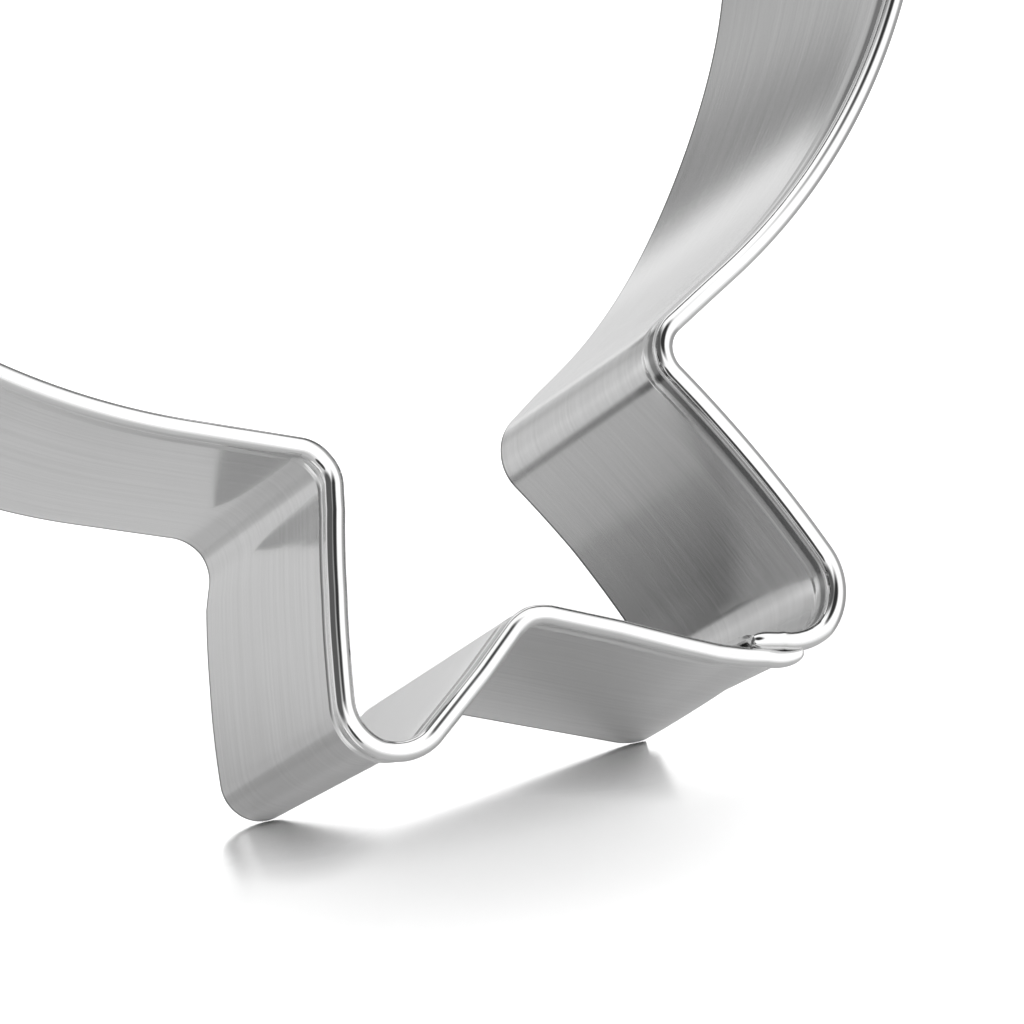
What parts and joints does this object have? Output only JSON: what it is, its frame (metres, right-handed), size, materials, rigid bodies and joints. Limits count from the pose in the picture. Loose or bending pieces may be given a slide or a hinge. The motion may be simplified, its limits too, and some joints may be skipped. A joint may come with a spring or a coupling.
{
  "type": "cookie cutter",
  "caption": "Steel strip cookie cutter: a round body with a short flared, notched tail, a thin lower cutting edge and a rolled upper rim, closed by a spot-welded lap seam.",
  "frame": {"origin": "middle of the cutter's bounding box, on the plane of the cutting edge", "axes": "+Z from the cutting edge up to the rolled rim, -Y towards the notched tail"},
  "size_m": [0.084, 0.1036, 0.025],
  "materials": {
    "stainless_strip": "satin walls with fine lines along the strip, polished rim",
    "weld_steel": "dull spot weld"
  },
  "bodies": {
    "root": {"cutter_band": "stainless_strip", "seam_spot_welds": "weld_steel"}
  },
  "joints": []
}
